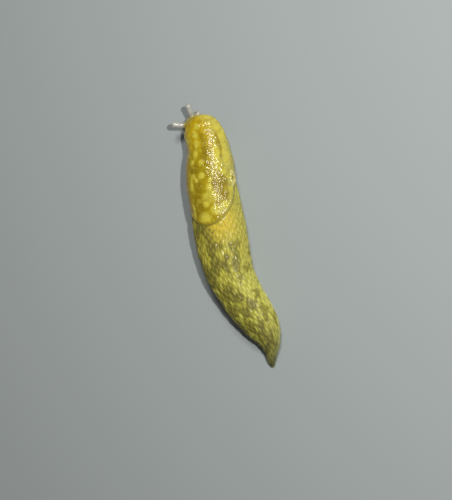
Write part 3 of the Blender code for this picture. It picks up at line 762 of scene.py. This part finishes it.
BLOTCHES = [
    (36.0, -3.2, 2.2, 3.6), (42.3, -0.7, 4.8, 1.7), (47.9, -1.2, 2.0, 1.6), (50.6, -4.6, 3.0, 2.3),
    (46.9, -7.0, 2.2, 1.4), (42.6, 5.2, 0.8, 3.2), (45.8, 6.3, 1.6, 1.0), (46.4, 2.9, 1.0, 1.5),
    (49.5, 5.7, 2.3, 1.1), (52.0, 8.4, 1.5, 1.3), (52.6, 2.6, 2.0, 0.8), (55.6, 5.0, 1.3, 1.8),
    (56.2, -1.8, 1.6, 2.8), (59.3, 0.8, 2.2, 1.8), (60.8, 7.8, 1.2, 1.2), (63.9, 4.2, 1.3, 2.5),
    (66.2, 6.7, 1.8, 1.2), (61.9, -5.4, 2.2, 1.6), (64.8, 0.0, 1.5, 1.2), (68.6, -2.1, 1.6, 1.8),
    (71.9, 1.0, 2.2, 1.2), (73.7, 5.5, 1.8, 1.0), (76.2, 1.5, 1.6, 1.4),
]
SHADES = [
    (29.3, -2.4, 4.2, 1.9), (22.9, -1.5, 2.6, 1.3), (17.9, -2.4, 1.3, 1.8), (12.0, 1.2, 5.0, 1.3),
    (24.5, 6.2, 4.5, 1.8), (24.2, 3.8, 3.4, 1.4), (11.5, 6.6, 3.5, 0.9),
]
draws = np.random.default_rng(5)
for at in np.arange(3.0, 33.0, 1.15):
    SPOTS.append((at, draws.uniform(-14, -6), draws.uniform(0.8, 1.5), draws.uniform(0.7, 1.1)))
for at in np.arange(38.0, 80.0, 1.5):
    BLOTCHES.append((at, draws.uniform(-15, -8), draws.uniform(1.0, 2.4), draws.uniform(0.9, 1.8)))
print(len(SPOTS), "spots,", len(BLOTCHES), "blotches and", len(SHADES), "shades")


def markings(places, marks):
    """1 in the middle of a mark, 0 on its edge, and less outside."""
    deepest = np.full(len(places), -1.0)
    for at, side, half_length, half_breadth in marks:
        run = (places[:, 0] / MM - at) / half_length
        deepest = np.maximum(deepest, 1 - np.hypot(run, (places[:, 1] / MM - side) / half_breadth))
    return deepest


# %% [markdown]
# A tubercle is in a blotch or not by its middle, so that a blotch has the ragged edge of the real
# one. Small blotches come from noise besides: more of them on the far side and towards the tail, and
# none in the golden patch behind the mantle.

# %% Blotches of the back
BY_MIDDLE = 0.7  # how far a point's blotch goes by its tubercle's middle
RARITY = 0.46  # the higher, the fewer small blotches
NEAR_TAIL = (60 * MM, 68 * MM)
FAR_SIDE = (1 * MM, -6 * MM)
NEAR_SIDE = (4 * MM, 10 * MM)
PATCH_ALONG = (44 * MM, 40 * MM)
PATCH_AROUND = (-2 * MM, 1 * MM)
BLOTCH_EDGE = (-0.3, 0.15)

middle = BY_MIDDLE * middle + (1 - BY_MIDDLE) * unrolled[:, :2]
flat_middle = np.column_stack([middle, np.zeros(len(middle))])
ragged = 0.6 * soft_noise(flat_middle, size=1.7 * MM, seed=21)
ragged += 0.3 * soft_noise(unrolled, size=0.8 * MM, seed=22)
speckle = 0.8 * soft_noise(flat_middle, size=2.0 * MM, seed=23)
speckle += 0.35 * soft_noise(unrolled, size=0.9 * MM, seed=26) - RARITY
speckle += 0.1 * (step(*NEAR_TAIL, along) + step(*FAR_SIDE, around))
speckle -= 0.1 * step(*NEAR_SIDE, around)
speckle -= 0.5 * step(*PATCH_ALONG, along) * step(*PATCH_AROUND, around)
blotch = step(*BLOTCH_EDGE, np.maximum(markings(middle, BLOTCHES) + ragged, speckle))
blotch = softened(blotch, rounds=2)


def covered(part, whole):
    return round(float((part * whole > 0.5).sum() / (whole > 0.5).sum()), 2)


print("blotches cover", covered(blotch, behind), "of the back")

# %% [markdown]
# The spots of the mantle are rounder and softer. A little noise keeps them from being true ovals.

# %% Spots of the mantle
SPOT_EDGE = (-0.35, 0.45)
SHADE_EDGE = (-0.5, 0.4)

wavy = 0.14 * soft_noise(unrolled, size=1.1 * MM, seed=24)
wavy += 0.2 * soft_noise(unrolled, size=2.5 * MM, seed=25)
spot = step(*SPOT_EDGE, markings(unrolled, SPOTS) + wavy)
shade = step(*SHADE_EDGE, markings(unrolled, SHADES) + wavy)
print("spots cover", covered(spot, shield), "of the mantle")

# %% [markdown]
# The colours read these measures again, so they are stored on the mesh, each as an attribute with one
# number per point. The skin then rides on the only body, and the solids of flesh are hidden.

# %% Measures kept for the colours
KEPT = {
    "along": along / MM,
    "around": around / MM,
    "crest": crest * behind,
    "blotch": blotch,
    "spot": spot,
    "shade": shade,
    "mouth": slit,
    "across": across / half_width(along),
    "mantle": mantle,
    "ring": ring / MM,
    "pore": pore,
    "stalk": stalk,
    "level": points[:, 2] / MM,
}
for name, values in KEPT.items():
    attribute = skin.data.attributes.new(name, "FLOAT", "POINT")
    attribute.data.foreach_set("value", np.asarray(values, np.float32))
edit(skin, (bpy.ops.mesh.normals_make_consistent, {"inside": False}))
select_only(skin)
bpy.ops.object.shade_smooth()

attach(skin, "root")
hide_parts(*FLESH)
print("finished skin", len(skin.data.vertices), "points with", len(KEPT), "measures each")

# %% [markdown]
# Each long tentacle ends in an eye, a small dark bead under the clear skin of the tip. It starts as a
# ball with its pole at the front. The points round the pole are pushed out for the lens, and the back
# is drawn out towards the nerve, so that it becomes a little pear.

# %% Shaping an eye
EYE_RADIUS = 0.28 * MM
LENS_FROM = 0.78  # height of the lens's edge, as a share of the radius
LENS_RISE = 0.03 * MM
EYE_DRAWN_OUT = 1.25  # length of the back half, as a share of the radius


def shape_eye(eye):
    select_points(eye, points_of(eye)[:, 2] > LENS_FROM * EYE_RADIUS)
    bpy.ops.transform.translate(value=(0, 0, LENS_RISE))
    bpy.ops.object.mode_set(mode="OBJECT")
    select_points(eye, points_of(eye)[:, 2] < 0)
    bpy.ops.transform.resize(value=(1, 1, EYE_DRAWN_OUT), center_override=(0, 0, 0))
    bpy.ops.mesh.select_all(action="SELECT")
    bpy.ops.mesh.vertices_smooth(factor=0.5, repeat=2)
    bpy.ops.object.mode_set(mode="OBJECT")


# %% [markdown]
# The shaped bead is laid along its tentacle and sunk into the tip, so that only the lens looks out.
# Its place and turn are then applied, because a finished piece sits at the origin, unturned.

# %% Eyes
EYE_SUNK = 0.26 * MM


def make_eye(side):
    axis = direction(*TENTACLES["upper", side])
    bpy.ops.object.select_all(action="DESELECT")
    bpy.ops.mesh.primitive_uv_sphere_add(radius=EYE_RADIUS, segments=32, ring_count=16)
    eye = bpy.context.object
    eye.name = "eye_bead_" + side
    shape_eye(eye)
    eye.rotation_euler = turned_along(axis)
    eye.location = TENTACLES["upper", side][1] + (TIP_RADIUS - TIP_BACK - EYE_SUNK) * axis
    select_only(eye)
    bpy.ops.object.transform_apply(location=True, rotation=True, scale=True)
    bpy.ops.object.shade_smooth()
    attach(eye, "root")
    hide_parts("eye_" + side)
    return eye


eyes = [make_eye(side) for side in SIDES]
print("each eye has", triangles_of(eyes[0]), "triangles")

# %% [markdown]
# Shader maths is easier to read as plain expressions. This small class wraps the output of a node, and
# writing a * b or 1 - a adds the Math node that does it.

# %% Writing shader maths
class Wire:
    """What comes out of a node: a number, colour or vector."""

    def __init__(self, finish, socket):
        self.finish = finish
        self.socket = socket

    def math(self, operation, first, second):
        return self.finish.node("Math", {"operation": operation}, {0: first, 1: second})

    def __add__(self, other):
        return self.math("ADD", self, other)

    def __sub__(self, other):
        return self.math("SUBTRACT", self, other)

    def __rsub__(self, other):
        return self.math("SUBTRACT", other, self)

    def __mul__(self, other):
        return self.math("MULTIPLY", self, other)

    __radd__ = __add__
    __rmul__ = __mul__

    def between(self, low, high):
        """The same soft step as on the mesh, as a node."""
        settings = {"interpolation_type": "SMOOTHSTEP"}
        return self.finish.node("MapRange", settings, {"Value": self, "From Min": low, "From Max": high})

    def blend(self, first, second):
        """The first colour where this is 0 and the second where it is 1."""
        return self.finish.node("Mix", {"data_type": "RGBA"}, {0: self, 6: first, 7: second}, output=2)


# %% [markdown]
# A finish is a material with one method that adds any node, and short names for those used most.

# %% A finish
class Finish:
    def __init__(self, name):
        self.material = bpy.data.materials.new(name)
        self.material.use_nodes = True
        self.tree = self.material.node_tree
        self.shader = self.tree.nodes["Principled BSDF"]

    def feed(self, socket, value):
        if isinstance(value, Wire):
            self.tree.links.new(value.socket, socket)
        else:
            socket.default_value = value

    def node(self, kind, settings=None, inputs=None, output=0):
        node = self.tree.nodes.new("ShaderNode" + kind)
        for name, value in (settings or {}).items():
            setattr(node, name, value)
        for name, value in (inputs or {}).items():
            self.feed(node.inputs[name], value)
        return Wire(self, node.outputs[output])

    def measure(self, name):
        return self.node("Attribute", {"attribute_name": name}, output=2)

    def scaled(self, vector, factor):
        return self.node("VectorMath", {"operation": "SCALE"}, {0: vector, "Scale": factor})

    def millimetres(self):
        return self.scaled(self.node("TexCoord", output=3), 1 / MM)

    def noise(self, place, size, detail, roughness=0.5):
        """Noise from 0 to 1 whose lumps are about as large as size, in millimetres."""
        inputs = {"Vector": place, "Scale": 1 / size, "Detail": detail, "Roughness": roughness}
        return self.node("TexNoise", None, inputs)

    def bump(self, height, distance):
        return self.node("Bump", None, {"Height": height, "Distance": distance, "Strength": 1.0})

    def surface(self, **values):
        """Sets the shader's own sockets, each to a constant or to what a node gives."""
        for name, value in values.items():
            self.feed(self.shader.inputs[name.replace("_", " ")], value)


# %% [markdown]
# Colours are given as a screen shows them, from 0 to 255. A shader wants linear values, so each is
# turned into those.

# %% The pots of colour
def linear(shown):
    if shown <= 10:
        return shown / 255 / 12.92
    return ((shown / 255 + 0.055) / 1.055) ** 2.4


def tint(red, green, blue):
    return (linear(red), linear(green), linear(blue), 1.0)


GOLD = tint(190, 160, 4)
OLIVE_GOLD = tint(160, 140, 10)
OLIVE_SHADE = tint(134, 112, 12)
PALE_SPOT = tint(204, 191, 68)
RIM = tint(160, 116, 44)
FLECK = tint(192, 188, 74)
FURROW = tint(155, 150, 40)
BLOTCH = tint(101, 93, 10)
BLOTCH_FLECK = tint(134, 128, 28)
# The pale laid on the lit right side of the body: painted light.
LIT_SIDE_PALE = tint(206, 202, 108)
GLOW = tint(204, 176, 24)
FRINGE = tint(202, 204, 140)
SOLE = tint(206, 198, 150)
SOLE_MIDDLE = tint(182, 172, 130)
HEAD_GREY = tint(150, 140, 96)
MOUTH_BROWN = tint(84, 62, 48)
STALK_GREY = tint(168, 168, 158)
STALK_CORE = tint(120, 104, 84)
PORE_BROWN = tint(74, 48, 14)
PORE_LIP = tint(222, 212, 140)

# %% [markdown]
# The colours come in layers, from the ground up, as a painter would lay them. Each layer has a mask:
# a pair of numbers, mostly millimetres along or round the body, says where it starts and where it is
# full, and a factor how strongly it covers. The mantle is golden olive, more golden at the front, and
# its right side is painted paler, as painted light from the right. Over that lie the shades, the
# pale spots, clouds, and a warm rim on the left.

# %% The mantle's colours
GOLDEN_ALONG = (17.0, 6.0)
PAINTED_LIGHT_RIGHT = (2.0, 8.0)
DARK_CLOUD = (0.5, 0.62)
PALE_CLOUD = (0.46, 0.36)
CLOUD_SIZE = 1.5
CLOUD_SHARE = 0.3
RIM_LEFT = (-4.5, -7.0)
RIM_ALONG = (4.0, 9.0)


def mantle_colour(paint, at):
    chance = paint.noise(at.place, 5.0, 3.0, 0.6) - 0.5
    gold = at.along.between(*GOLDEN_ALONG) * 0.8 + chance * 0.9
    colour = gold.between(0.0, 1.0).blend(OLIVE_GOLD, GOLD)
    # Painted light: the right side of the mantle is made paler, as if lit from the right.
    colour = (at.around.between(*PAINTED_LIGHT_RIGHT) * 0.5).blend(colour, LIT_SIDE_PALE)
    colour = (at.shade * 0.8).blend(colour, OLIVE_SHADE)
    colour = (at.spot * 0.9).blend(colour, PALE_SPOT)
    clouds = paint.noise(at.place, CLOUD_SIZE, 3.0, 0.6)
    colour = (clouds.between(*DARK_CLOUD) * CLOUD_SHARE).blend(colour, OLIVE_SHADE)
    colour = (clouds.between(*PALE_CLOUD) * CLOUD_SHARE).blend(colour, PALE_SPOT)
    rim = at.around.between(*RIM_LEFT) * at.along.between(*RIM_ALONG)
    return (rim * 0.5).blend(colour, RIM)


# %% [markdown]
# Behind the mantle, pale yellow-green tubercles stand on slightly darker furrows, with dark olive
# blotches between. So there are two grounds, a light and a dark one, and the blotches choose between
# them. The right flank is painted paler on both grounds, most of all low down, as painted light from
# the right. The front of the back is warmer, and a golden patch glows just behind the mantle, whose
# rim throws a thin dark line on it.

# %% The back's colours
UP_A_TUBERCLE = (0.1, 1.0)
LIT_RIGHT_FLANK = (2.0, 9.0)
LIT_LOWEST_FLANK = (9.0, 12.0)
WARMER_ALONG = (60.0, 42.0)
GLOW_ALONG = (43.0, 36.0)
GLOW_FROM_LEFT = (-3.0, 1.5)
GLOW_FROM_RIGHT = (10.0, 5.0)
RIM_SHADOW = (1.04, 1.0)  # of the mantle's share


def back_colour(paint, at):
    up = at.crest.between(*UP_A_TUBERCLE)
    flank = at.around.between(*LIT_RIGHT_FLANK)
    # Painted light: the right flank is made paler, most of all low down.
    paler = flank * 0.25 + at.around.between(*LIT_LOWEST_FLANK) * 0.35
    light = paler.blend(up.blend(FURROW, FLECK), LIT_SIDE_PALE)
    light = (at.along.between(*WARMER_ALONG) * 0.35).blend(light, OLIVE_GOLD)
    # Painted light: the blotches are also made lighter towards the right.
    dark = (flank * 0.35).blend(up.blend(BLOTCH, BLOTCH_FLECK), FURROW)
    colour = at.blotch.blend(light, dark)
    glow = at.along.between(*GLOW_ALONG) * at.around.between(*GLOW_FROM_LEFT)
    glow = glow * at.around.between(*GLOW_FROM_RIGHT) * at.crest.between(0.0, 0.2)
    colour = (glow * 0.75).blend(colour, GLOW)
    return (at.mantle.between(*RIM_SHADOW) * 0.6).blend(colour, BLOTCH)


# %% [markdown]
# The foot has a pale fringe, and its sole three pale bands, the middle one duller. Small dark dots
# lie along the right flank. Towards its end the tail is painted darker all over, as painted shade.
# That is a Vector Math node that makes the colour smaller, because a Math node would turn it grey.

# %% The flank, foot and tail
FRINGE_LEVEL = (3.6, 1.6)
FRINGE_ALONG = (84.0, 76.0)
DOT_SIZE = 1.0
DOTS = (0.57, 0.68)
DOTS_RIGHT = (6.0, 8.0)
DOTS_ALONG = (26.0, 32.0)
DOTS_LEVEL = (0.8, 2.0)
DOTS_OFF_CRESTS = (0.8, 0.3)
TAIL_SHADE_ALONG = (66.0, 83.0)
TAIL_SHADE_SCALE = 0.32
SOLE_BANDS = (0.08, 0.14)  # squared shares of the half width
SOLE_LEVEL = (0.25, 0.05)


def foot_colours(paint, at, colour):
    fringe = at.level.between(*FRINGE_LEVEL) * at.along.between(*FRINGE_ALONG) * 0.85
    colour = fringe.blend(colour, FRINGE)
    dots = paint.noise(at.place, DOT_SIZE, 1.0).between(*DOTS) * at.around.between(*DOTS_RIGHT)
    dots = dots * at.crest.between(*DOTS_OFF_CRESTS) * at.along.between(*DOTS_ALONG)
    colour = (dots * at.level.between(*DOTS_LEVEL) * 0.6).blend(colour, BLOTCH)
    # Painted shade: the colour is made darker towards the tail's end.
    colour = at.along.between(*TAIL_SHADE_ALONG).blend(colour, paint.scaled(colour, TAIL_SHADE_SCALE))
    sole = (at.across * at.across).between(*SOLE_BANDS).blend(SOLE_MIDDLE, SOLE)
    return at.level.between(*SOLE_LEVEL).blend(colour, sole)


# %% [markdown]
# The breathing pore is a brown hole in a pale lip. The face is greyish, the mouth brown, and the
# tentacles are a clear grey, with a warmer core towards their root where the nerve shows through.
# Last, a fine mottle breaks up every even field except the tentacles.

# %% The pore, face and tentacles
LIP_OUTER = (2.1, 1.6)
LIP_INNER = (0.9, 1.1)
LIP_BELOW = (9.3, 10.2)
HOLE = (0.95, 0.7)
HOLE_ON_MANTLE = (1.3, 1.1)
FACE_ALONG = (3.0, -0.5)
FACE_OFF_MANTLE = (1.0, 1.07)
MOUTH_EDGE = (0.15, 0.7)
STALK_EDGE = (-0.15, 0.12)
CORE_TO_ROOT = (0.5, -0.1)
MOTTLE_OFF_STALKS = (0.0, -0.3)


def head_colours(paint, at, colour):
    lip = at.pore.between(*LIP_OUTER) * at.pore.between(*LIP_INNER) * at.around.between(*LIP_BELOW)
    colour = lip.blend(colour, PORE_LIP)
    hole = at.pore.between(*HOLE) * at.mantle.between(*HOLE_ON_MANTLE)
    colour = hole.blend(colour, PORE_BROWN)
    grey = at.along.between(*FACE_ALONG) * at.mantle.between(*FACE_OFF_MANTLE)
    colour = grey.blend(colour, HEAD_GREY)
    colour = at.mouth.between(*MOUTH_EDGE).blend(colour, MOUTH_BROWN)
    core = (at.stalk.between(*CORE_TO_ROOT) * 0.5).blend(STALK_GREY, STALK_CORE)
    colour = at.stalk.between(*STALK_EDGE).blend(colour, core)
    mottle = (at.fine - 0.5) * 0.5 + 0.06
    return (mottle * at.stalk.between(*MOTTLE_OFF_STALKS)).blend(colour, BLOTCH)


# %% [markdown]
# The mantle is wet and shiny, and its gloss breaks up into hundreds of tiny glints, because its skin
# has grains of half a millimetre. They are too fine for the mesh, so they are bump. The grain is
# strongest on the right of the mantle's rear and gentler in front. The back is duller, since there
# the tubercles scatter the light.

# %% Relief and gloss
FINE_PITCH = 0.72  # mm, of the bump's wrinkles
WRINKLES_STRAY = 9.0
WRINKLES_SHARE = 0.05
GRAIN_SIZE = 0.52
GRAIN_EVERYWHERE = 0.3
GRAIN_IN_FRONT = 0.9
GRAIN_AT_REAR = 2.2
GRAIN_ON_LEFT = 0.15
FRONT_ALONG = (24.0, 16.0)
FRONT_SHIFT = 5.0  # mm further to the left in front
GRAIN_RIGHT = (0.0, 5.0)
WET_MANTLE = (1.0, 0.95)
WET_OFF_STALKS = (-0.4, -0.8)
DULL_BACK = 0.75
WET = 0.57  # how much smoother the wet skin is


def relief_and_gloss(paint, at):
    on_mantle = at.mantle.between(*WET_MANTLE) * at.stalk.between(*WET_OFF_STALKS)
    front = at.along.between(*FRONT_ALONG)
    phase = at.ring * (2 * math.pi / FINE_PITCH) + at.fine * WRINKLES_STRAY
    wrinkles = paint.node("Math", {"operation": "SINE"}, {0: phase})
    right = (at.around + front * FRONT_SHIFT).between(*GRAIN_RIGHT) * (1 - GRAIN_ON_LEFT) + GRAIN_ON_LEFT
    grainy = on_mantle * right * (front * (GRAIN_IN_FRONT - GRAIN_AT_REAR) + GRAIN_AT_REAR)
    grain = paint.noise(at.place, GRAIN_SIZE, 0.0)
    relief = wrinkles * on_mantle * WRINKLES_SHARE + grain * (grainy + GRAIN_EVERYWHERE)
    wet = on_mantle + at.stalk.between(*STALK_EDGE)
    paint.surface(Normal=paint.bump(relief, distance=0.12 * MM))
    paint.surface(Roughness=DULL_BACK - wet * WET, Coat_Weight=0.12 - on_mantle * 0.08)


# %% [markdown]
# The skin's finish puts the layers together. The same few measures feed them all, so each is read
# once. Light also goes a little way into flesh and comes out again, redder than it went in, which is
# the subsurface part of the shader.

# %% Skin finish
MANTLE_EDGE = (1.012, 1.0)


def paint_skin():
    paint = Finish("wet_skin")
    at = SimpleNamespace(**{name: paint.measure(name) for name in KEPT})
    at.place = paint.millimetres()
    at.fine = paint.noise(at.place, 0.8, 3.0, 0.6)
    colour = at.mantle.between(*MANTLE_EDGE).blend(back_colour(paint, at), mantle_colour(paint, at))
    colour = foot_colours(paint, at, colour)
    colour = head_colours(paint, at, colour)
    paint.surface(Base_Color=colour)
    relief_and_gloss(paint, at)
    paint.surface(Coat_Roughness=0.15, Specular_IOR_Level=0.65)
    paint.surface(Subsurface_Weight=0.2, Subsurface_Scale=0.6 * MM, Subsurface_Radius=(1.0, 0.7, 0.3))
    print("the skin's finish has", len(paint.tree.nodes), "nodes")
    return paint.material


skin.data.materials.clear()
skin.data.materials.append(paint_skin())

# %% [markdown]
# An eye is nearly black, a little mottled, and wet. Its gloss is a clear coat over a smooth ground.

# %% Eye finish
def paint_eye():
    bead = Finish("eye_bead")
    mottle = bead.noise(bead.millimetres(), 0.15, 2.0)
    bead.surface(Base_Color=mottle.blend(tint(70, 62, 62), tint(104, 94, 92)))
    bead.surface(Roughness=0.12, Coat_Weight=1.0, Coat_Roughness=0.03)
    return bead.material


bead_finish = paint_eye()
for eye in eyes:
    eye.data.materials.append(bead_finish)
print("painted", len(eyes), "eyes")

# %% [markdown]
# The studio has a plain pale floor. A small hard lamp from the upper right makes the many tiny glints
# of a wet skin, a larger and softer one from in front opens the shadows, and so does a faint white
# surround.

# %% Floor and light
SURROUND = 0.1

bpy.ops.object.select_all(action="DESELECT")
bpy.ops.mesh.primitive_plane_add(size=1.2)
floor = bpy.context.object
floor.name = "floor"
floor_finish = Finish("floor")
floor_finish.surface(Base_Color=tint(150, 156, 154), Roughness=0.75)
floor.data.materials.append(floor_finish.material)


def put(name, data):
    item = bpy.data.objects.new(name, data)
    bpy.context.scene.collection.objects.link(item)
    return item


def add_lamp(name, place, size, power):
    lamp = put(name, bpy.data.lights.new(name, "AREA"))
    lamp.location = place
    lamp.rotation_euler = (-Vector(place)).to_track_quat("-Z", "Y").to_euler()
    lamp.data.size = size
    lamp.data.energy = power


add_lamp("key", place=(0.27, 0.05, 0.40), size=0.02, power=1.7)
add_lamp("flash", place=(0.08, 0.28, 0.40), size=0.12, power=1.2)
world = bpy.data.worlds.new("studio")
bpy.context.scene.world = world
world.use_nodes = True
background = world.node_tree.nodes["Background"].inputs
background["Color"].default_value = (1, 1, 1, 1)
background["Strength"].default_value = SURROUND
bpy.context.scene.view_settings.view_transform = "Standard"
print("lit by two lamps and a surround of", SURROUND)

# %% [markdown]
# The camera looks down on the slug and leans a little to its right side, as the photograph does. Its
# lens follows from the distance and from what the picture's height takes in at the slug.

# %% Camera
AIM = Vector((0.18, -4.76, 4.0)) * MM
TILT = math.radians(24)
DISTANCE = 0.45
PHOTO_HEIGHT = 0.155  # what the photograph's height spans at the slug
SENSOR_WIDTH = 36

camera = put("camera", bpy.data.cameras.new("camera"))
bpy.context.scene.camera = camera
camera.location = AIM + Vector((math.sin(TILT), 0, math.cos(TILT))) * DISTANCE
camera.rotation_euler = (0, TILT, 0)
camera.data.sensor_width = SENSOR_WIDTH
camera.data.lens = SENSOR_WIDTH * DISTANCE / PHOTO_HEIGHT
camera.data.clip_start = 0.01
print("the lens is", round(camera.data.lens, 1), "mm")
